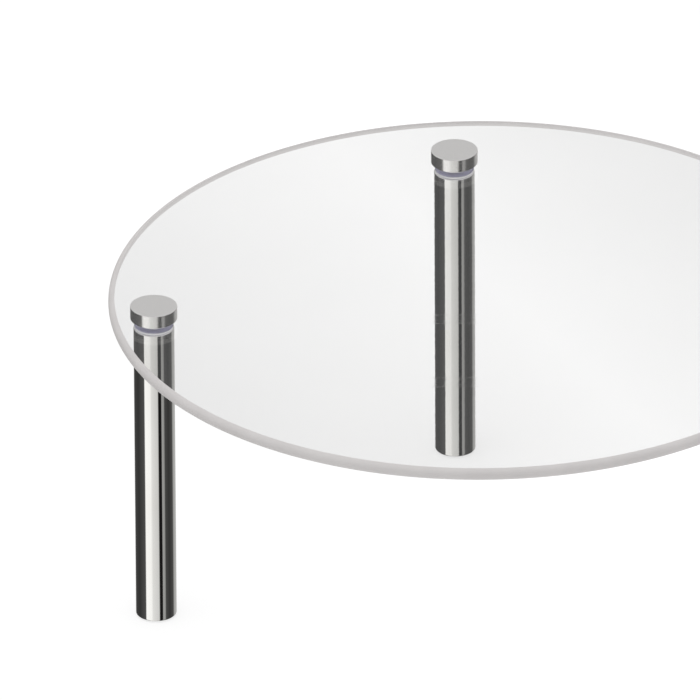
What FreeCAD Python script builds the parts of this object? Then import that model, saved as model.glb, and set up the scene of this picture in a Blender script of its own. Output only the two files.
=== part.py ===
"""Round clear stand on three polished tube legs, each held by a cap that screws down from above.

Millimetres. The origin is on the floor below the middle of the plate, +Z is up and +X is to the
right. Every leg is the same stack, from the floor up: foot, tube with a threaded insert in its
top, lower washer, plate, upper washer, and a cap whose stud passes through all of them.
"""
import FreeCAD
import Part
import os
import Sketcher

SIZES = {
    # plate
    "plate_diameter": 300,
    "plate_thickness": 5,
    "plate_rim_round": 2.4,
    "plate_hole_diameter": 7,
    # where the legs stand, from the middle of the plate
    "left_leg_x": -131.5,
    "left_leg_y": -21.5,
    "back_leg_x": -9.5,
    "back_leg_y": 111,
    "right_leg_x": 103,
    "right_leg_y": -75,
    # leg tube
    "tube_diameter": 16.5,
    "tube_wall": 1.2,
    "tube_length": 128.5,
    "tube_edge_break": 0.5,
    # foot: a hollow plug in the tube's end, just proud of it
    "foot_proud": 0.4,
    "foot_base": 1.6,
    "foot_length": 8.4,
    "foot_wall": 1.4,
    "foot_edge_break": 0.3,
    # threaded insert in the top of the tube
    "insert_length": 15,
    "insert_bore_depth": 12,
    "insert_edge_break": 0.6,
    # stud, an M6 thread 1 mm in pitch
    "stud_diameter": 6,
    "stud_end_break": 0.7,
    "stud_in_cap": 3.5,
    "thread_engagement": 10,
    "thread_clearance": 0.05,
    # washers
    "washer_diameter": 16,
    "washer_thickness": 1,
    # cap
    "cap_diameter": 19,
    "cap_thickness": 5.5,
    "cap_top_round": 0.2,
    "cap_rim_break": 0.2,
}
LEGS = ("left", "back", "right")

# heights above the floor, as expressions of the sheet, each standing on the one before it
TUBE_BASE = "Sizes.foot_proud"
TUBE_TOP = f"({TUBE_BASE} + Sizes.tube_length)"
PLATE_BASE = f"({TUBE_TOP} + Sizes.washer_thickness)"
PLATE_TOP = f"({PLATE_BASE} + Sizes.plate_thickness)"
CAP_BASE = f"({PLATE_TOP} + Sizes.washer_thickness)"

doc = FreeCAD.newDocument("cake_stand")
sheet = doc.addObject("Spreadsheet::Sheet", "Sizes")
for row, (name, value) in enumerate(SIZES.items(), start=1):
    sheet.set(f"A{row}", name)
    sheet.set(f"B{row}", str(value))
    sheet.setAlias(f"B{row}", name)
doc.recompute()


def value_of(expression):
    """The number that an expression of the sheet gives now."""
    return float(sheet.evalExpression(expression))


def new_body(label, x, y, z):
    """A body placed by three expressions, whose Label is its file's name."""
    body = doc.addObject("PartDesign::Body", label)
    body.Label = label
    for axis, expression in zip("xyz", (x, y, z)):
        body.setExpression(f"Placement.Base.{axis}", expression)
    return body


def leg_body(leg, piece, z):
    return new_body(f"{leg}_{piece}", f"Sizes.{leg}_leg_x", f"Sizes.{leg}_leg_y", z)


def new_sketch(body, role, name):
    """A sketch on one of the body's own origin planes."""
    plane = next(f for f in body.Origin.OriginFeatures if f.Role == role)
    sketch = body.newObject("Sketcher::SketchObject", f"{body.Name}_{name}")
    sketch.AttachmentSupport = [(plane, "")]
    sketch.MapMode = "FlatFace"
    return sketch


def drive(sketch, constraint, expression):
    """Adds a dimension to the sketch and binds it to an expression of the sheet."""
    index = sketch.addConstraint(constraint)
    sketch.setExpression(f"Constraints[{index}]", expression)


def pin_point(sketch, geometry, corner, x, y):
    """Holds one point of the sketch at two expressions from the sketch's origin."""
    for axis_id, kind, expression in ((-2, "DistanceX", x), (-1, "DistanceY", y)):
        if expression == "0":
            sketch.addConstraint(Sketcher.Constraint("PointOnObject", geometry, corner, axis_id))
        else:
            distance = Sketcher.Constraint(kind, -1, 1, geometry, corner, value_of(expression))
            drive(sketch, distance, expression)


def add_circle(sketch, diameter, x="0", y="0"):
    """A circle of a diameter, centred at two expressions from the sketch's origin."""
    centre = FreeCAD.Vector(value_of(x), value_of(y), 0)
    radius = value_of(f"({diameter}) / 2")
    up = FreeCAD.Vector(0, 0, 1)
    circle = sketch.addGeometry(Part.Circle(centre, up, radius), False)
    drive(sketch, Sketcher.Constraint("Diameter", circle, 2 * radius), diameter)
    pin_point(sketch, circle, 3, x, y)


def add_outline(sketch, corners):
    """A closed outline of straight lines through corners given as pairs of expressions."""
    places = [FreeCAD.Vector(value_of(x), value_of(y), 0) for x, y in corners]
    count = len(places)
    for index in range(count):
        line = Part.LineSegment(places[index], places[(index + 1) % count])
        sketch.addGeometry(line, False)
    for index in range(count):
        meet = Sketcher.Constraint("Coincident", index, 2, (index + 1) % count, 1)
        sketch.addConstraint(meet)
    for index, (x, y) in enumerate(corners):
        pin_point(sketch, index, 1, x, y)


def pad(body, sketch, length):
    feature = body.newObject("PartDesign::Pad", f"{body.Name}_pad")
    feature.Profile = sketch
    feature.setExpression("Length", length)
    doc.recompute()
    return feature


def revolve(body, corners):
    """A full turn of an outline whose corners are (distance from the axis, height)."""
    sketch = new_sketch(body, "XZ_Plane", "outline")
    add_outline(sketch, corners)
    feature = body.newObject("PartDesign::Revolution", f"{body.Name}_turned")
    feature.Profile = sketch
    feature.ReferenceAxis = (sketch, ["V_Axis"])
    feature.Angle = 360
    doc.recompute()
    return feature


def ring(body, outer, bore, height):
    """A flat ring that stands on the body's own origin."""
    sketch = new_sketch(body, "XY_Plane", "ring")
    add_circle(sketch, outer)
    add_circle(sketch, bore)
    return pad(body, sketch, height)


def cut_holes(body, name, diameter, centres, depth=None):
    """Round holes up from the body's base: blind if a depth is given, else right through."""
    before = body.Shape.Volume
    sketch = new_sketch(body, "XY_Plane", name)
    for x, y in centres:
        add_circle(sketch, diameter, x, y)
    feature = body.newObject("PartDesign::Pocket", f"{body.Name}_{name}_cut")
    feature.Profile = sketch
    feature.Reversed = True
    if depth is None:
        feature.Type = "ThroughAll"
    else:
        feature.setExpression("Length", depth)
    doc.recompute()
    if not body.Shape.Volume < before:
        raise RuntimeError(f"{body.Label}: {name} cut nothing")
    return feature


def round_edges(feature, diameter, height=None):
    """Names of the feature's round edges of one diameter, at one height or at any."""
    names = []
    for index, edge in enumerate(feature.Shape.Edges, start=1):
        curve = edge.Curve
        if not isinstance(curve, Part.Circle) or abs(2 * curve.Radius - diameter) > 1e-6:
            continue
        if height is None or abs(curve.Center.z - height) < 1e-6:
            names.append(f"Edge{index}")
    return names


def dress(body, kind, size, base, edges):
    """A fillet or a chamfer on named edges of the last feature."""
    feature = body.newObject(f"PartDesign::{kind}", f"{body.Name}_{kind.lower()}")
    feature.Base = (base, edges)
    feature.setExpression("Radius" if kind == "Fillet" else "Size", size)
    doc.recompute()
    return feature


def make_plate():
    """The clear round plate, its rim nearly half round, with a clearance hole over each leg."""
    body = new_body("plate", "0", "0", PLATE_BASE)
    sketch = new_sketch(body, "XY_Plane", "disc")
    add_circle(sketch, "Sizes.plate_diameter")
    pad(body, sketch, "Sizes.plate_thickness")
    centres = [(f"Sizes.{leg}_leg_x", f"Sizes.{leg}_leg_y") for leg in LEGS]
    holes = cut_holes(body, "stud_holes", "Sizes.plate_hole_diameter", centres)
    edges = round_edges(holes, SIZES["plate_diameter"])
    dress(body, "Fillet", "Sizes.plate_rim_round", holes, edges)
    return body


def make_tube(leg):
    """The polished leg tube, with a broken edge inside and out at both ends."""
    body = leg_body(leg, "leg_tube", TUBE_BASE)
    bore = "Sizes.tube_diameter - 2 * Sizes.tube_wall"
    tube = ring(body, "Sizes.tube_diameter", bore, "Sizes.tube_length")
    edges = round_edges(tube, SIZES["tube_diameter"]) + round_edges(tube, value_of(bore))
    dress(body, "Chamfer", "Sizes.tube_edge_break", tube, edges)
    return body


def make_foot(leg):
    """The plastic foot: a hollow plug pressed into the tube, proud enough to stand on."""
    body = leg_body(leg, "foot", "0")
    plug = "Sizes.tube_diameter / 2 - Sizes.tube_wall"
    hollow = f"{plug} - Sizes.foot_wall"
    lead = "Sizes.foot_edge_break"
    revolve(body, [
        ("0", "0"),
        (f"{plug} - {lead}", "0"),
        (plug, lead),
        (plug, f"Sizes.foot_length - {lead}"),
        (f"{plug} - {lead}", "Sizes.foot_length"),
        (hollow, "Sizes.foot_length"),
        (hollow, "Sizes.foot_base"),
        ("0", "Sizes.foot_base"),
    ])
    return body


def make_insert(leg):
    """The metal plug in the top of the tube, bored and threaded for the stud."""
    body = leg_body(leg, "tube_insert", f"{TUBE_TOP} - Sizes.insert_length")
    outside = "Sizes.tube_diameter / 2 - Sizes.tube_wall"
    bore = "Sizes.stud_diameter / 2 + Sizes.thread_clearance"
    floor = "Sizes.insert_length - Sizes.insert_bore_depth"
    lead = "Sizes.insert_edge_break"
    revolve(body, [
        ("0", "0"),
        (f"{outside} - {lead}", "0"),
        (outside, lead),
        (outside, f"Sizes.insert_length - {lead}"),
        (f"{outside} - {lead}", "Sizes.insert_length"),
        (f"{bore} + {lead}", "Sizes.insert_length"),
        (bore, f"Sizes.insert_length - {lead}"),
        (bore, floor),
        ("0", floor),
    ])
    return body


def make_lower_washer(leg):
    """The clear washer between the tube's end and the underside of the plate."""
    body = leg_body(leg, "lower_washer", TUBE_TOP)
    ring(body, "Sizes.washer_diameter", "Sizes.plate_hole_diameter", "Sizes.washer_thickness")
    return body


def make_upper_washer(leg):
    """The clear washer under the cap, snug on the stud so that it stays with the cap."""
    body = leg_body(leg, "upper_washer", PLATE_TOP)
    bore = "Sizes.stud_diameter + 2 * Sizes.thread_clearance"
    ring(body, "Sizes.washer_diameter", bore, "Sizes.washer_thickness")
    return body


def make_cap(leg):
    """The round head that is turned by hand, with a blind hole for its stud."""
    body = leg_body(leg, "cap", CAP_BASE)
    sketch = new_sketch(body, "XY_Plane", "disc")
    add_circle(sketch, "Sizes.cap_diameter")
    disc = pad(body, sketch, "Sizes.cap_thickness")
    top = round_edges(disc, SIZES["cap_diameter"], SIZES["cap_thickness"])
    rounded = dress(body, "Fillet", "Sizes.cap_top_round", disc, top)
    base = round_edges(rounded, SIZES["cap_diameter"], 0)
    dress(body, "Chamfer", "Sizes.cap_rim_break", rounded, base)
    cut_holes(body, "stud_hole", "Sizes.stud_diameter", [("0", "0")], "Sizes.stud_in_cap")
    return body


def make_stud(leg):
    """The threaded rod that is fixed in the cap and screws into the tube's insert."""
    body = leg_body(leg, "stud", f"{TUBE_TOP} - Sizes.thread_engagement")
    length = (
        "Sizes.thread_engagement + 2 * Sizes.washer_thickness"
        " + Sizes.plate_thickness + Sizes.stud_in_cap"
    )
    outside = "Sizes.stud_diameter / 2"
    lead = "Sizes.stud_end_break"
    revolve(body, [
        ("0", "0"),
        (f"{outside} - {lead}", "0"),
        (outside, lead),
        (outside, length),
        ("0", length),
    ])
    return body


makers = (
    make_tube,
    make_foot,
    make_insert,
    make_lower_washer,
    make_upper_washer,
    make_cap,
    make_stud,
)
bodies = [make_plate()]
for leg_name in LEGS:
    bodies += [maker(leg_name) for maker in makers]
doc.recompute()

for item in doc.Objects:
    if {"Invalid", "Error"} & set(item.State):
        raise RuntimeError(f"{item.Label}: {item.State}")
for body in bodies:
    if body.Shape.isNull() or not body.Shape.isValid():
        raise RuntimeError(f"{body.Label}: its shape isn't valid")
    if len(body.Shape.Solids) != 1:
        raise RuntimeError(f"{body.Label}: {len(body.Shape.Solids)} solids")

os.makedirs("parts", exist_ok=True)
for body in bodies:
    body.Shape.exportStep(f"parts/{body.Label}.step")
    box = body.Shape.BoundBox
    print(f"{body.Label}: {body.Shape.Volume:.1f} mm3, z {box.ZMin:.2f} to {box.ZMax:.2f}")
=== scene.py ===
"""Looks for the clear round stand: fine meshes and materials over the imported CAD, in metres."""
from math import acos, atan2, cos, pi, radians, sin, tan

import bpy
from mathutils import Matrix, Vector
from mathutils.geometry import tessellate_polygon


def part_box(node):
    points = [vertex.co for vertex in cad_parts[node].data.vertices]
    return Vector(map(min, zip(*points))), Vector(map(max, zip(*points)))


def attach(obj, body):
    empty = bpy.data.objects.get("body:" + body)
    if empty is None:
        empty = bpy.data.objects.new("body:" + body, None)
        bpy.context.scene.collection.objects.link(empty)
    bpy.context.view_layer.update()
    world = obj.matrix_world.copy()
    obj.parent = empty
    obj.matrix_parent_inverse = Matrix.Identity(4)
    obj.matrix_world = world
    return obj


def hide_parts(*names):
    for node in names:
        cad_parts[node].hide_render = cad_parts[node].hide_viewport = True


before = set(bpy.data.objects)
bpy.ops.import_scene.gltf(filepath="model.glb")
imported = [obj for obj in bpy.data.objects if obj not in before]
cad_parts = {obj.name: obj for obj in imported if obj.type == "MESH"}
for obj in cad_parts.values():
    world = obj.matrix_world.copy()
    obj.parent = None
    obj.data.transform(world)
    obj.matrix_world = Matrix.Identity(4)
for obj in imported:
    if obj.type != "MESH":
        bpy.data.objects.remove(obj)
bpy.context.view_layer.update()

MM = 0.001
LEGS = ("left", "back", "right")

# sizes that no node's box gives
PLATE_HOLE_RADIUS = 3.5 * MM
THREAD_CLEARANCE = 0.05 * MM
FOOT_WALL = 1.4 * MM
FOOT_BASE = 1.6 * MM

# flats round each piece and steps round each edge
RIM_SEGMENTS = 384
LEG_SEGMENTS = 128
WASHER_SEGMENTS = 96
HOLE_SEGMENTS = 64
ROUND_STEPS = 5
RIM_STEPS = 14

# roundings, and the flat left between the rim's two
PLATE_RIM_FLAT = 0.2 * MM
HOLE_EDGE_ROUND = 0.25 * MM
TUBE_EDGE_ROUND = 0.5 * MM
CAP_TOP_ROUND = 0.2 * MM
CAP_BASE_ROUND = 0.2 * MM
WASHER_ROUND = 0.22 * MM
FOOT_ROUND = 0.25 * MM

ACRYLIC_IOR = 1.49
WASHER_IOR = 1.5

# noise is mostly near its middle, so looks spread over this part of it
NOISE_LOW = 0.3
NOISE_HIGH = 0.7

# the turning marks on a cap's top: their spacing, and their relief beside the grain's
TURNING_STEP = 0.22 * MM
TURNING_RELIEF = 0.35

# the screw thread
THREAD_PITCH = 1.0 * MM
THREAD_DEPTH = 0.6 * MM
THREAD_ROWS_PER_PITCH = 16
THREAD_SEGMENTS = 48
PLAIN_SHANK = 0.4 * MM
STUD_POINT = 0.8 * MM
POINT_TAPER = 1.15
THREAD_SHARP_ANGLE = radians(35)


# ------------------------------------------------------------------ meshes

def corner_arc(before, corner, after, radius, steps=ROUND_STEPS):
    """Points and outward normals round one corner of an outline, as (r, z, normal_r, normal_z).

    The outline runs with its solid on the left of its way, so a normal points to the right.
    """
    here = Vector(corner)
    way_in = (here - Vector(before)).normalized()
    way_out = (Vector(after) - here).normalized()
    turn = atan2(way_in.x * way_out.y - way_in.y * way_out.x, way_in.dot(way_out))
    reach = radius * tan(abs(turn) / 2)
    side = 1 if turn > 0 else -1
    first = here - way_in * reach
    centre = first + side * radius * Vector((-way_in.y, way_in.x))
    points = []
    for step in range(steps + 1):
        angle = turn * step / steps
        normal_in = Vector((way_in.y, -way_in.x))
        normal = Vector((
            normal_in.x * cos(angle) - normal_in.y * sin(angle),
            normal_in.x * sin(angle) + normal_in.y * cos(angle),
        ))
        place = centre + side * radius * normal
        points.append((place.x, place.y, normal.x, normal.y))
    return points


def rounded_outline(corners):
    """A closed outline from corners given as (r, z, rounding), each with its solid on the left."""
    count = len(corners)
    outline = []
    for index, (r, z, rounding) in enumerate(corners):
        before = corners[index - 1][:2]
        after = corners[(index + 1) % count][:2]
        outline += corner_arc(before, (r, z), after, rounding)
    return outline


def axis_outline(corners):
    """An outline that starts and ends on the axis: its first and last corners aren't rounded."""
    outline = [(*corners[0][:2], *flat_normal(corners[0], corners[1]))]
    for index in range(1, len(corners) - 1):
        r, z, rounding = corners[index]
        outline += corner_arc(corners[index - 1][:2], (r, z), corners[index + 1][:2], rounding)
    outline.append((*corners[-1][:2], *flat_normal(corners[-2], corners[-1])))
    return outline


def flat_normal(start, end):
    """The normal on the right of the way from one point to the next."""
    way = (Vector(end[:2]) - Vector(start[:2])).normalized()
    return way.y, -way.x


def new_piece(name, points, faces, normals, place=(0, 0, 0)):
    """A mesh object at a place in the frame, with a smooth normal given for every point."""
    mesh = bpy.data.meshes.new(name)
    mesh.from_pydata(points, [], faces)
    mesh.validate()
    mesh.polygons.foreach_set("use_smooth", [True] * len(mesh.polygons))
    mesh.normals_split_custom_set_from_vertices(normals)
    mesh.update()
    piece = bpy.data.objects.new(name, mesh)
    piece.location = place
    bpy.context.scene.collection.objects.link(piece)
    return piece


def sweep_round(outline, segments, closed, centre=(0, 0)):
    """Points, quads and normals of an outline turned round an upright axis."""
    points = []
    normals = []
    faces = []
    rows = len(outline)
    for r, z, normal_r, normal_z in outline:
        for segment in range(segments):
            angle = 2 * pi * segment / segments
            points.append((centre[0] + r * cos(angle), centre[1] + r * sin(angle), z))
            normals.append((normal_r * cos(angle), normal_r * sin(angle), normal_z))
    for row in range(rows if closed else rows - 1):
        start = row * segments
        above = (row + 1) % rows * segments
        for segment in range(segments):
            after = (segment + 1) % segments
            faces.append((start + segment, start + after, above + after, above + segment))
    return points, faces, normals


def turned_ring(name, corners, segments, place):
    """A ring with a bore, such as a tube or a washer."""
    points, faces, normals = sweep_round(rounded_outline(corners), segments, True)
    return new_piece(name, points, faces, normals, place)


def turned_solid(name, corners, segments, place):
    """A turned piece that is closed on its axis at both ends."""
    outline = axis_outline(corners)
    inner = outline[1:-1]
    points, faces, normals = sweep_round(inner, segments, False)
    last_row = (len(inner) - 1) * segments
    foot = len(points)
    points += [(0, 0, outline[0][1]), (0, 0, outline[-1][1])]
    normals += [(0, 0, outline[0][3]), (0, 0, outline[-1][3])]
    for segment in range(segments):
        after = (segment + 1) % segments
        faces.append((foot, after, segment))
        faces.append((foot + 1, last_row + segment, last_row + after))
    return new_piece(name, points, faces, normals, place)


def disc_with_holes(name, radius, base, top, centres, hole_radius):
    """The plate: half-round rim, flat faces and a hole at each centre. Its rim is material 1."""
    rim_round = (top - base - PLATE_RIM_FLAT) / 2
    rim = [
        *corner_arc((0, base), (radius, base), (radius, top), rim_round, RIM_STEPS),
        *corner_arc((radius, base), (radius, top), (0, top), rim_round, RIM_STEPS),
    ]
    wall = [
        *corner_arc((2 * radius, top), (hole_radius, top), (hole_radius, base), HOLE_EDGE_ROUND),
        *corner_arc((hole_radius, top), (hole_radius, base), (2 * radius, base), HOLE_EDGE_ROUND),
    ]
    points, faces, normals = sweep_round(rim, RIM_SEGMENTS, False)
    rim_faces = len(faces)
    lower = [list(range(RIM_SEGMENTS))]
    upper = [list(range(len(points) - RIM_SEGMENTS, len(points)))]
    for centre in centres:
        start = len(points)
        hole_points, hole_faces, hole_normals = sweep_round(wall, HOLE_SEGMENTS, False, centre)
        points += hole_points
        normals += hole_normals
        faces += [tuple(start + corner for corner in face) for face in hole_faces]
        upper.append(list(range(start, start + HOLE_SEGMENTS)))
        lower.append(list(range(len(points) - HOLE_SEGMENTS, len(points))))
    for loops, up in ((lower, False), (upper, True)):
        flat = [corner for loop in loops for corner in loop]
        outlines = [[Vector(points[corner]) for corner in loop] for loop in loops]
        for triangle in tessellate_polygon(outlines):
            a, b, c = (flat[corner] for corner in triangle)
            pa, pb, pc = (Vector(points[corner]) for corner in (a, b, c))
            faces_up = (pb - pa).cross(pc - pa).z > 0
            faces.append((a, b, c) if faces_up == up else (a, c, b))
    piece = new_piece(name, points, faces, normals)
    for face in piece.data.polygons[:rim_faces]:
        face.material_index = 1
    return piece


def thread_depth_at(phase):
    """How far the thread is cut in, from 0 at a crest to 1 at a root, over one pitch."""
    crest, flank = 1 / 8, 5 / 16
    if phase < crest:
        return 0
    if phase < crest + flank:
        return (phase - crest) / flank
    if phase < 1 - flank:
        return 1
    return (1 - phase) / flank


def threaded_stud(name, radius, length, place):
    """A rod with a real helical thread, pointed below and plain where the cap holds it."""
    rows = round(length / THREAD_PITCH * THREAD_ROWS_PER_PITCH)
    points = []
    faces = []
    for row in range(rows + 1):
        z = length * row / rows
        lead = min(1, z / STUD_POINT)
        fade = min(1, max(0, (length - PLAIN_SHANK - z) / THREAD_PITCH))
        for segment in range(THREAD_SEGMENTS):
            turn = segment / THREAD_SEGMENTS
            phase = (z / THREAD_PITCH - turn) % 1
            cut = THREAD_DEPTH * thread_depth_at(phase) * fade
            r = min(radius - cut, radius - THREAD_DEPTH * (1 - lead) * POINT_TAPER)
            points.append((r * cos(2 * pi * turn), r * sin(2 * pi * turn), z))
    for row in range(rows):
        start = row * THREAD_SEGMENTS
        for segment in range(THREAD_SEGMENTS):
            after = (segment + 1) % THREAD_SEGMENTS
            below = start + segment, start + after
            faces.append((*below, below[1] + THREAD_SEGMENTS, below[0] + THREAD_SEGMENTS))
    last = rows * THREAD_SEGMENTS
    faces.append(tuple(reversed(range(THREAD_SEGMENTS))))
    faces.append(tuple(range(last, last + THREAD_SEGMENTS)))
    mesh = bpy.data.meshes.new(name)
    mesh.from_pydata(points, [], faces)
    mesh.polygons.foreach_set("use_smooth", [True] * len(mesh.polygons))
    mesh.set_sharp_from_angle(angle=THREAD_SHARP_ANGLE)
    piece = bpy.data.objects.new(name, mesh)
    piece.location = place
    bpy.context.scene.collection.objects.link(piece)
    return piece


# --------------------------------------------------------------- materials

def new_material(name):
    """An empty node material with one Principled shader, and its node tree."""
    material = bpy.data.materials.new(name)
    material.use_nodes = True
    tree = material.node_tree
    shader = tree.nodes["Principled BSDF"]
    return material, tree, shader


def add(tree, kind, **values):
    """A node with its properties and inputs set by name."""
    node = tree.nodes.new(kind)
    for name, value in values.items():
        if name in node.inputs:
            node.inputs[name].default_value = value
        else:
            setattr(node, name, value)
    return node


def place_on(tree, scale=(1, 1, 1)):
    """The object's own coordinates in metres, stretched by a scale."""
    where = add(tree, "ShaderNodeTexCoord")
    mapping = add(tree, "ShaderNodeMapping")
    mapping.inputs["Scale"].default_value = scale
    tree.links.new(where.outputs["Object"], mapping.inputs["Vector"])
    return mapping.outputs["Vector"]


def noise(tree, vector, size, detail=3.0):
    """Noise whose spots are about size metres across, as a value from 0 to 1."""
    node = add(tree, "ShaderNodeTexNoise", Scale=1 / size, Detail=detail)
    tree.links.new(vector, node.inputs["Vector"])
    return node.outputs["Fac"]


def spread(tree, value, low, high, start=NOISE_LOW, end=NOISE_HIGH):
    """A value mapped from start..end to low..high, held at the ends."""
    node = add(tree, "ShaderNodeMapRange")
    for name, number in zip(("From Min", "From Max", "To Min", "To Max"), (start, end, low, high)):
        node.inputs[name].default_value = number
    tree.links.new(value, node.inputs["Value"])
    return node.outputs["Result"]


def tint(tree, value, dark, light, start=NOISE_LOW, end=NOISE_HIGH):
    """A value turned into a colour between two."""
    ramp = add(tree, "ShaderNodeValToRGB")
    ramp.color_ramp.elements[0].position = start
    ramp.color_ramp.elements[1].position = end
    ramp.color_ramp.elements[0].color = (*dark, 1)
    ramp.color_ramp.elements[1].color = (*light, 1)
    tree.links.new(value, ramp.inputs["Fac"])
    return ramp.outputs["Color"]


def bump(tree, shader, value, height, strength=1.0):
    """A bump of a height in metres from a value."""
    node = add(tree, "ShaderNodeBump", Strength=strength, Distance=height)
    tree.links.new(value, node.inputs["Height"])
    tree.links.new(node.outputs["Normal"], shader.inputs["Normal"])


def radial_distance(tree):
    """Distance from the piece's own upright axis, in metres."""
    where = add(tree, "ShaderNodeTexCoord")
    apart = add(tree, "ShaderNodeSeparateXYZ")
    together = add(tree, "ShaderNodeCombineXYZ")
    length = add(tree, "ShaderNodeVectorMath", operation="LENGTH")
    tree.links.new(where.outputs["Object"], apart.inputs["Vector"])
    tree.links.new(apart.outputs["X"], together.inputs["X"])
    tree.links.new(apart.outputs["Y"], together.inputs["Y"])
    tree.links.new(together.outputs["Vector"], length.inputs[0])
    return length.outputs["Value"]


def flat_share(tree, start=0.55, end=0.9):
    """1 on faces that look straight up or down, 0 on upright ones."""
    where = add(tree, "ShaderNodeTexCoord")
    apart = add(tree, "ShaderNodeSeparateXYZ")
    size = add(tree, "ShaderNodeMath", operation="ABSOLUTE")
    tree.links.new(where.outputs["Normal"], apart.inputs["Vector"])
    tree.links.new(apart.outputs["Z"], size.inputs[0])
    return spread(tree, size.outputs["Value"], 0, 1, start, end)


def blend_between(tree, share, first, second, kind="FLOAT"):
    """The first value or colour where the share is 0, the second where it is 1."""
    mix = add(tree, "ShaderNodeMix", data_type=kind)
    sockets = [socket for socket in mix.inputs if socket.name in ("A", "B") and socket.enabled]
    tree.links.new(share, next(i for i in mix.inputs if i.name == "Factor" and i.enabled))
    tree.links.new(first, sockets[0])
    tree.links.new(second, sockets[1])
    return next(o for o in mix.outputs if o.name == "Result" and o.enabled)


def clear_acrylic():
    """Cast clear sheet: barely grey, with the faint long waves of a cast surface."""
    material, tree, shader = new_material("clear_acrylic")
    shader.inputs["Transmission Weight"].default_value = 1.0
    shader.inputs["Roughness"].default_value = 0.0
    shader.inputs["IOR"].default_value = ACRYLIC_IOR
    vector = place_on(tree)
    haze = noise(tree, vector, 50 * MM)
    colour = tint(tree, haze, (0.925, 0.925, 0.923), (0.935, 0.935, 0.933))
    tree.links.new(colour, shader.inputs["Base Color"])
    waves = noise(tree, vector, 70 * MM, 1.0)
    bump(tree, shader, waves, 0.01 * MM)
    return material


def ground_rim():
    """The plate's rim: ground matt and grey, with the fine upright marks of the grinder."""
    material, tree, shader = new_material("ground_rim")
    shader.inputs["Roughness"].default_value = 0.55
    shader.inputs["Specular IOR Level"].default_value = 0.25
    shader.inputs["IOR"].default_value = ACRYLIC_IOR
    shader.inputs["Transmission Weight"].default_value = 0.12
    mottle = noise(tree, place_on(tree), 12 * MM)
    colour = tint(tree, mottle, (0.595, 0.573, 0.568), (0.63, 0.608, 0.602))
    tree.links.new(colour, shader.inputs["Base Color"])
    grit = noise(tree, place_on(tree, (1, 1, 0.15)), 0.6 * MM, 2.0)
    bump(tree, shader, grit, 0.03 * MM, 0.6)
    return material


def polished_tube():
    """Mirror-polished stainless tube with a trace of the draw lines along it."""
    material, tree, shader = new_material("polished_tube")
    shader.inputs["Metallic"].default_value = 1.0
    lines = noise(tree, place_on(tree, (1, 1, 0.004)), 0.8 * MM, 2.0)
    smears = noise(tree, place_on(tree, (1, 1, 0.3)), 12 * MM)
    colour = tint(tree, smears, (0.80, 0.79, 0.77), (0.86, 0.855, 0.84))
    tree.links.new(colour, shader.inputs["Base Color"])
    rough = spread(tree, smears, 0.035, 0.07)
    tree.links.new(rough, shader.inputs["Roughness"])
    bump(tree, shader, lines, 0.002 * MM, 0.5)
    return material


def satin_cap():
    """Cap: a finely turned satin top, and a side polished until only faint brushing is left."""
    material, tree, shader = new_material("satin_cap")
    shader.inputs["Metallic"].default_value = 0.89
    flat = flat_share(tree)
    turns = add(tree, "ShaderNodeMath", operation="MULTIPLY")
    turns.inputs[1].default_value = 2 * pi / TURNING_STEP
    rings = add(tree, "ShaderNodeMath", operation="SINE")
    tree.links.new(radial_distance(tree), turns.inputs[0])
    tree.links.new(turns.outputs["Value"], rings.inputs[0])
    grain = noise(tree, place_on(tree), 0.7 * MM, 4.0)
    marks = add(tree, "ShaderNodeMath", operation="MULTIPLY_ADD")
    marks.inputs[1].default_value = TURNING_RELIEF
    tree.links.new(rings.outputs["Value"], marks.inputs[0])
    tree.links.new(grain, marks.inputs[2])
    brushing = noise(tree, place_on(tree, (0.12, 0.12, 1)), 0.3 * MM, 2.0)
    side_rough = spread(tree, brushing, 0.17, 0.21)
    top_rough = spread(tree, grain, 0.36, 0.46)
    rough = blend_between(tree, flat, side_rough, top_rough)
    tree.links.new(rough, shader.inputs["Roughness"])
    colour = tint(tree, grain, (0.72, 0.71, 0.70), (0.77, 0.76, 0.75))
    tree.links.new(colour, shader.inputs["Base Color"])
    relief = blend_between(tree, flat, brushing, marks.outputs["Value"])
    bump(tree, shader, relief, 0.004 * MM, 0.6)
    return material


def soft_washer():
    """Soft clear plastic, a little cloudy: violet on its flat faces, and near white at its edge, a
    painted highlight.
    """
    material, tree, shader = new_material("soft_washer")
    shader.inputs["Roughness"].default_value = 0.15
    shader.inputs["IOR"].default_value = WASHER_IOR
    cloud = noise(tree, place_on(tree), 2 * MM)
    flat = flat_share(tree)
    # painted highlight: the upright edge is coloured near white so it shows brighter than the
    # violet faces
    highlight_edge_colour = tint(tree, cloud, (0.93, 0.93, 0.94), (0.97, 0.97, 0.97))
    face_colour = tint(tree, cloud, (0.70, 0.69, 0.83), (0.77, 0.76, 0.90))
    colour = blend_between(tree, flat, highlight_edge_colour, face_colour, "RGBA")
    tree.links.new(colour, shader.inputs["Base Color"])
    tree.links.new(spread(tree, flat, 0.25, 0.65, 0, 1), shader.inputs["Transmission Weight"])
    bump(tree, shader, cloud, 0.01 * MM, 0.4)
    return material


def thread_steel():
    """Bright rolled thread, darker in its roots, which is painted shade in the thread's recesses.
    """
    material, tree, shader = new_material("thread_steel")
    shader.inputs["Metallic"].default_value = 1.0
    out = radial_distance(tree)
    root, crest = 2.4 * MM, 3.0 * MM
    film = noise(tree, place_on(tree), 1 * MM)
    # painted shade: the colour darkens from the crests down into the thread's roots
    colour = tint(tree, out, (0.30, 0.29, 0.27), (0.70, 0.69, 0.67), root, crest)
    tree.links.new(colour, shader.inputs["Base Color"])
    tree.links.new(spread(tree, film, 0.16, 0.32), shader.inputs["Roughness"])
    return material


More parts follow.
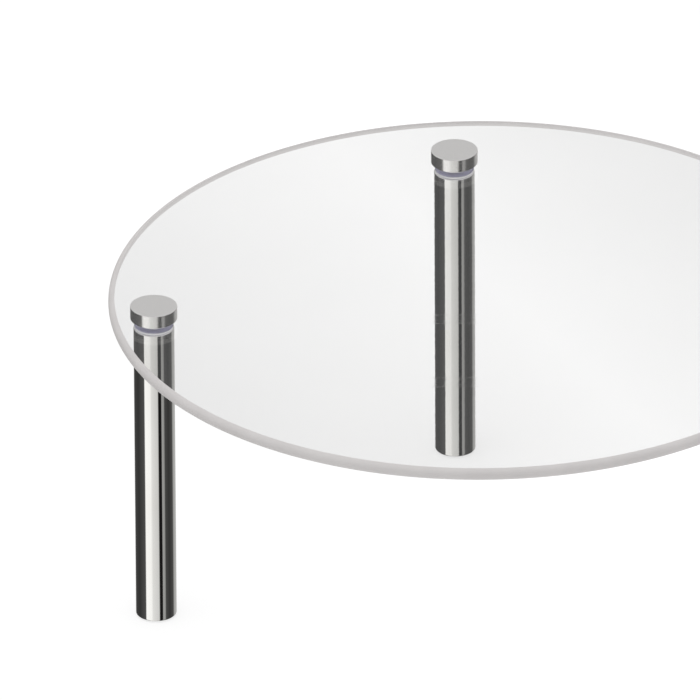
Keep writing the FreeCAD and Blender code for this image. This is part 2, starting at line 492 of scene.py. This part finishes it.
def turned_metal():
    """Plain turned metal of the inserts."""
    material, tree, shader = new_material("turned_metal")
    shader.inputs["Metallic"].default_value = 1.0
    grain = noise(tree, place_on(tree, (1, 1, 6)), 1 * MM)
    colour = tint(tree, grain, (0.55, 0.54, 0.51), (0.66, 0.65, 0.62))
    tree.links.new(colour, shader.inputs["Base Color"])
    tree.links.new(spread(tree, grain, 0.22, 0.36), shader.inputs["Roughness"])
    return material


def milky_plastic():
    """Moulded foot: milky, with a faint grain in its tone and surface."""
    material, tree, shader = new_material("milky_plastic")
    shader.inputs["Subsurface Weight"].default_value = 0.25
    shader.inputs["Subsurface Radius"].default_value = (2 * MM, 2 * MM, 2 * MM)
    grain = noise(tree, place_on(tree), 1.5 * MM, 4.0)
    colour = tint(tree, grain, (0.72, 0.72, 0.70), (0.80, 0.80, 0.785))
    tree.links.new(colour, shader.inputs["Base Color"])
    tree.links.new(spread(tree, grain, 0.38, 0.55), shader.inputs["Roughness"])
    bump(tree, shader, grain, 0.02 * MM, 0.5)
    return material


# ------------------------------------------------------------------ pieces

def finish_piece(piece, body, slot, nodes, *materials):
    """Gives a piece its materials, its body and the CAD nodes it stands for. Its slot is not used.
    """
    for material in materials:
        piece.data.materials.append(material)
    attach(piece, body)
    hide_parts(*nodes)
    return piece


def node_place(node):
    """The middle of a node's base, its height and its half width."""
    low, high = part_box(node)
    middle = (low + high) / 2
    return Vector((middle.x, middle.y, low.z)), high.z - low.z, (high.x - low.x) / 2


def make_plate(materials):
    """The clear plate, with its holes over the legs.

    It lets light through to the floor and the metal as if it weren't there.
    """
    low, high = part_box("plate")
    centres = [tuple(node_place(f"{leg}_leg_tube")[0].xy) for leg in LEGS]
    radius = (high.y - low.y) / 2
    plate = disc_with_holes("clear_plate", radius, low.z, high.z, centres, PLATE_HOLE_RADIUS)
    plate.visible_shadow = False
    plate.visible_diffuse = False
    plate.visible_glossy = False
    return finish_piece(plate, "stand", "clear_plate", ["plate"], *materials)


def make_tube(leg, material):
    """A leg's tube, which the other polished metal doesn't mirror."""
    node = f"{leg}_leg_tube"
    place, height, radius = node_place(node)
    bore = node_place(f"{leg}_foot")[2]
    corners = [
        (bore, 0, TUBE_EDGE_ROUND),
        (radius, 0, TUBE_EDGE_ROUND),
        (radius, height, TUBE_EDGE_ROUND),
        (bore, height, TUBE_EDGE_ROUND),
    ]
    tube = turned_ring(f"{leg}_tube_polished", corners, LEG_SEGMENTS, place)
    tube.visible_glossy = False
    return finish_piece(tube, "stand", "polished_tube", [node], material)


def make_cap(leg, material):
    """A leg's screw cap."""
    node = f"{leg}_cap"
    place, height, radius = node_place(node)
    corners = [
        (0, 0, 0),
        (radius, 0, CAP_BASE_ROUND),
        (radius, height, CAP_TOP_ROUND),
        (0, height, 0),
    ]
    cap = turned_solid(f"{leg}_screw_cap", corners, LEG_SEGMENTS, place)
    return finish_piece(cap, f"{leg}_screw", "satin_cap", [node], material)


def make_washer(leg, level, bore, body, material):
    """A leg's washer at one level, upper or lower."""
    node = f"{leg}_{level}_washer"
    place, height, radius = node_place(node)
    corners = [
        (bore, 0, WASHER_ROUND),
        (radius, 0, WASHER_ROUND),
        (radius, height, WASHER_ROUND),
        (bore, height, WASHER_ROUND),
    ]
    washer = turned_ring(f"{leg}_{level}_soft_washer", corners, WASHER_SEGMENTS, place)
    return finish_piece(washer, body, "clear_washer", [node], material)


def make_stud(leg, material):
    """A leg's stud, as far as the base of its cap."""
    node = f"{leg}_stud"
    place, _, radius = node_place(node)
    inside_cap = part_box(f"{leg}_cap")[0].z - place.z
    stud = threaded_stud(f"{leg}_threaded_stud", radius, inside_cap, place)
    return finish_piece(stud, f"{leg}_screw", "threaded_stud", [node], material)


def make_foot(leg, material):
    """A leg's hollow foot, inside its tube and left out of mirror images as the tube is."""
    node = f"{leg}_foot"
    place, height, radius = node_place(node)
    hollow = radius - FOOT_WALL
    corners = [
        (0, 0, 0),
        (radius, 0, FOOT_ROUND),
        (radius, height, FOOT_ROUND),
        (hollow, height, FOOT_ROUND),
        (hollow, FOOT_BASE, FOOT_ROUND),
        (0, FOOT_BASE, 0),
    ]
    foot = turned_solid(f"{leg}_moulded_foot", corners, WASHER_SEGMENTS, place)
    foot.visible_glossy = False
    return finish_piece(foot, "stand", "foot_plastic", [node], material)


def finish_insert(leg, material):
    """The drawn insert with its look, left out of mirror images as the tube round it is."""
    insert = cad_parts[f"{leg}_tube_insert"]
    insert.data.materials.clear()
    insert.data.materials.append(material)
    insert.visible_glossy = False


washer_material = soft_washer()
make_plate([clear_acrylic(), ground_rim()])
tube_material = polished_tube()
cap_material = satin_cap()
stud_material = thread_steel()
foot_material = milky_plastic()
insert_material = turned_metal()
for leg_name in LEGS:
    make_tube(leg_name, tube_material)
    make_cap(leg_name, cap_material)
    make_stud(leg_name, stud_material)
    make_foot(leg_name, foot_material)
    stud_bore = node_place(f"{leg_name}_stud")[2] + THREAD_CLEARANCE
    make_washer(leg_name, "upper", stud_bore, f"{leg_name}_washer", washer_material)
    make_washer(leg_name, "lower", PLATE_HOLE_RADIUS, "stand", washer_material)
    finish_insert(leg_name, insert_material)

# ------------------------------------------------- camera and light settings

# a very long lens, and how far its aim is from the middle of the plate's top, in metres
LENS = 1500.0
SENSOR = 36.0
CAMERA_RISE = radians(28.42)
CAMERA_ROLL = radians(0.30)
FRAME_WIDTH = 0.2828
AIM_RIGHT = -0.0523
AIM_UP = -0.02304

# what the polished metal mirrors below the horizon, as (degrees round from the front, brightness)
STUDIO_BANDS = (
    (-180, 0.50),
    (-150, 0.06),
    (-105, 0.04),
    (-66, 0.08),
    (-60, 0.10),
    (-56, 1.15),
    (-26, 1.10),
    (-16, 0.86),
    (18, 0.70),
    (22, 0.01),
    (38, 0.01),
    (41, 0.40),
    (54, 0.32),
    (58, 0.07),
    (84, 0.04),
    (114, 0.08),
    (124, 0.40),
    (150, 0.50),
    (180, 0.50),
)
BAND_BLUE = 0.985

# the sky's light from the horizon up to a height and from another up, as the sine of its rise
LOW_SKY = 0.55
HIGH_SKY = 1.25
LOW_SKY_END = 0.6
HIGH_SKY_START = 0.95
HORIZON_BLEND = 0.02

# the sky that metal mirrors, and what is seen straight or through the plate
MIRRORED_SKY = 0.67
BACKDROP = 1.0

SOFTBOX_PLACE = (-0.3, -0.2, 1.6)
SOFTBOX_SIZE = 1.2
SOFTBOX_POWER = 6.0

# the floor shines a little by itself, evenly as a light table does, and more along one soft band,
# which is a painted pool of light
FLOOR_REACH = 20.0
FLOOR_DROP = 0.0002
FLOOR_ALBEDO = 0.30
FLOOR_GLOW = 0.725
LIGHT_POOL_GLOW = 0.15
LIGHT_POOL_PLACE = (0.009, 0.247)
LIGHT_POOL_TURN = radians(27)
LIGHT_POOL_HALF_WIDTH = 0.15

# dim cards far behind, one where each face of the plate mirrors the room
CARD_DISTANCE = 5.0
CARD_HALF_WIDTH = 0.30
CARD_HALF_HEIGHT = 0.18
CARD_GLOW = 0.25


def link_stage(name, points):
    """A flat four-cornered stage object."""
    mesh = bpy.data.meshes.new(name)
    mesh.from_pydata(points, [], [(0, 1, 2, 3)])
    item = bpy.data.objects.new(name, mesh)
    bpy.context.scene.collection.objects.link(item)
    return item


def make_world():
    """A pale backdrop, and a sky whose light is strongest overhead.

    Polished metal mirrors an even sky, and below the horizon a studio's light and dark panels.
    """
    world = bpy.data.worlds.new("studio")
    bpy.context.scene.world = world
    world.use_nodes = True
    tree = world.node_tree
    background = tree.nodes["Background"]
    where = add(tree, "ShaderNodeTexCoord")
    apart = add(tree, "ShaderNodeSeparateXYZ")
    tree.links.new(where.outputs["Generated"], apart.inputs["Vector"])
    back = add(tree, "ShaderNodeMath", operation="MULTIPLY")
    back.inputs[1].default_value = -1
    tree.links.new(apart.outputs["Y"], back.inputs[0])
    angle = add(tree, "ShaderNodeMath", operation="ARCTAN2")
    tree.links.new(apart.outputs["X"], angle.inputs[0])
    tree.links.new(back.outputs["Value"], angle.inputs[1])
    around = spread(tree, angle.outputs["Value"], 0, 1, -pi, pi)
    ramp = add(tree, "ShaderNodeValToRGB")
    stops = ramp.color_ramp.elements
    while len(stops) > 1:
        stops.remove(stops[-1])
    for index, (turn, level) in enumerate(STUDIO_BANDS):
        place = (turn + 180) / 360
        stop = stops[0] if index == 0 else stops.new(place)
        stop.position = place
        stop.color = (level, level, level * BAND_BLUE, 1)
    tree.links.new(around, ramp.inputs["Fac"])
    path = add(tree, "ShaderNodeLightPath")
    height = apart.outputs["Z"]
    sky_level = spread(tree, height, LOW_SKY, HIGH_SKY, LOW_SKY_END, HIGH_SKY_START)
    for name, level in (("To Min", LOW_SKY), ("To Max", HIGH_SKY)):
        mirrored = spread(tree, path.outputs["Is Glossy Ray"], level, MIRRORED_SKY, 0, 1)
        tree.links.new(mirrored, sky_level.node.inputs[name])
    sky = add(tree, "ShaderNodeCombineXYZ")
    for axis in "XYZ":
        tree.links.new(sky_level, sky.inputs[axis])
    above = spread(tree, height, 0, 1, -HORIZON_BLEND, 0)
    light = blend_between(tree, above, ramp.outputs["Color"], sky.outputs["Vector"], "RGBA")
    tree.links.new(light, background.inputs["Color"])
    backdrop = add(tree, "ShaderNodeBackground")
    backdrop.inputs["Color"].default_value = (BACKDROP, BACKDROP, BACKDROP, 1)
    seen = add(tree, "ShaderNodeMath", operation="MAXIMUM")
    tree.links.new(path.outputs["Is Camera Ray"], seen.inputs[0])
    tree.links.new(path.outputs["Is Transmission Ray"], seen.inputs[1])
    mix = add(tree, "ShaderNodeMixShader")
    tree.links.new(seen.outputs["Value"], mix.inputs["Fac"])
    tree.links.new(background.outputs["Background"], mix.inputs[1])
    tree.links.new(backdrop.outputs["Background"], mix.inputs[2])
    tree.links.new(mix.outputs["Shader"], tree.nodes["World Output"].inputs["Surface"])


def make_floor():
    """A pale floor that shines by itself, with a painted pool of light along one band, seen from
    above only and not mirrored in the metal.
    """
    reach = FLOOR_REACH
    floor = link_stage("floor", [
        (-reach, -reach, 0),
        (reach, -reach, 0),
        (reach, reach, 0),
        (-reach, reach, 0),
    ])
    floor.location.z = -FLOOR_DROP
    material, tree, shader = new_material("floor_paint")
    shader.inputs["Base Color"].default_value = (FLOOR_ALBEDO, FLOOR_ALBEDO, FLOOR_ALBEDO, 1)
    shader.inputs["Roughness"].default_value = 0.9
    shader.inputs["Specular IOR Level"].default_value = 0.0
    shader.inputs["Emission Color"].default_value = (1, 1, 1, 1)
    where = add(tree, "ShaderNodeTexCoord")
    across = add(tree, "ShaderNodeVectorMath", operation="DOT_PRODUCT")
    across.inputs[1].default_value = (cos(LIGHT_POOL_TURN), sin(LIGHT_POOL_TURN), 0)
    tree.links.new(where.outputs["Object"], across.inputs[0])
    away = add(tree, "ShaderNodeMath", operation="SUBTRACT")
    away.inputs[1].default_value = (
        LIGHT_POOL_PLACE[0] * cos(LIGHT_POOL_TURN) + LIGHT_POOL_PLACE[1] * sin(LIGHT_POOL_TURN)
    )
    tree.links.new(across.outputs["Value"], away.inputs[0])
    size = add(tree, "ShaderNodeMath", operation="ABSOLUTE")
    tree.links.new(away.outputs["Value"], size.inputs[0])
    # painted pool of light: the floor's glow is stronger along a soft band across it
    light_pool_peak = FLOOR_GLOW + LIGHT_POOL_GLOW
    glow = spread(tree, size.outputs["Value"], light_pool_peak, FLOOR_GLOW, 0.0, LIGHT_POOL_HALF_WIDTH)
    tree.links.new(glow, shader.inputs["Emission Strength"])
    under = add(tree, "ShaderNodeNewGeometry")
    clear = add(tree, "ShaderNodeBsdfTransparent")
    mix = add(tree, "ShaderNodeMixShader")
    tree.links.new(under.outputs["Backfacing"], mix.inputs["Fac"])
    tree.links.new(shader.outputs["BSDF"], mix.inputs[1])
    tree.links.new(clear.outputs["BSDF"], mix.inputs[2])
    tree.links.new(mix.outputs["Shader"], tree.nodes["Material Output"].inputs["Surface"])
    material.cycles.emission_sampling = "NONE"
    floor.data.materials.append(material)
    floor.visible_glossy = False


def make_softbox():
    """A square area light overhead, turned to face the stand."""
    light = bpy.data.lights.new("overhead", "AREA")
    light.shape = "SQUARE"
    light.size = SOFTBOX_SIZE
    light.energy = SOFTBOX_POWER
    lamp = bpy.data.objects.new("overhead", light)
    lamp.location = SOFTBOX_PLACE
    lamp.rotation_euler = (-Vector(SOFTBOX_PLACE)).to_track_quat("-Z", "Y").to_euler()
    lamp.visible_glossy = False
    bpy.context.scene.collection.objects.link(lamp)


def make_dim_card(name, rise):
    """A dim upright card far behind the stand and above it, seen only in the plate and metal."""
    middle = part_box("plate")[1].z + CARD_DISTANCE * tan(rise)
    reach = CARD_HALF_HEIGHT * tan(rise) / tan(CAMERA_RISE)
    card = link_stage(name, [
        (-CARD_HALF_WIDTH, CARD_DISTANCE, middle - reach),
        (CARD_HALF_WIDTH, CARD_DISTANCE, middle - reach),
        (CARD_HALF_WIDTH, CARD_DISTANCE, middle + reach),
        (-CARD_HALF_WIDTH, CARD_DISTANCE, middle + reach),
    ])
    material, tree, shader = new_material(name)
    tree.nodes.remove(shader)
    glow = add(tree, "ShaderNodeEmission", Strength=CARD_GLOW)
    tree.links.new(glow.outputs["Emission"], tree.nodes["Material Output"].inputs["Surface"])
    material.cycles.emission_sampling = "NONE"
    card.data.materials.append(material)
    card.visible_camera = False
    card.visible_diffuse = False
    card.visible_shadow = False
    card.visible_volume_scatter = False


make_world()
make_floor()
make_dim_card("dim_card_top_face", CAMERA_RISE)
make_dim_card("dim_card_lower_face", acos(cos(CAMERA_RISE) / ACRYLIC_IOR))
make_softbox()

# ------------------------------------------------------------------ camera

def make_camera():
    """A long lens from the front, looking down at the plate, whose right part is out of frame."""
    camera = bpy.data.cameras.new("camera")
    camera.lens = LENS
    camera.sensor_width = SENSOR
    camera.clip_start = 0.1
    camera.clip_end = 50.0
    view = bpy.data.objects.new("camera", camera)
    bpy.context.scene.collection.objects.link(view)
    forward = Vector((0, cos(CAMERA_RISE), -sin(CAMERA_RISE)))
    level_right = Vector((1, 0, 0))
    level_up = level_right.cross(forward)
    right = level_right * cos(CAMERA_ROLL) - level_up * sin(CAMERA_ROLL)
    up = level_up * cos(CAMERA_ROLL) + level_right * sin(CAMERA_ROLL)
    plate_top = Vector((0, 0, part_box("plate")[1].z))
    aim = plate_top + right * AIM_RIGHT + up * AIM_UP
    distance = FRAME_WIDTH * LENS / SENSOR
    turned = Matrix((right, up, -forward)).transposed().to_4x4()
    view.matrix_world = Matrix.Translation(aim - forward * distance) @ turned
    bpy.context.scene.camera = view


make_camera()
bpy.context.scene.view_settings.view_transform = "Standard"
bpy.context.scene.view_settings.look = "None"
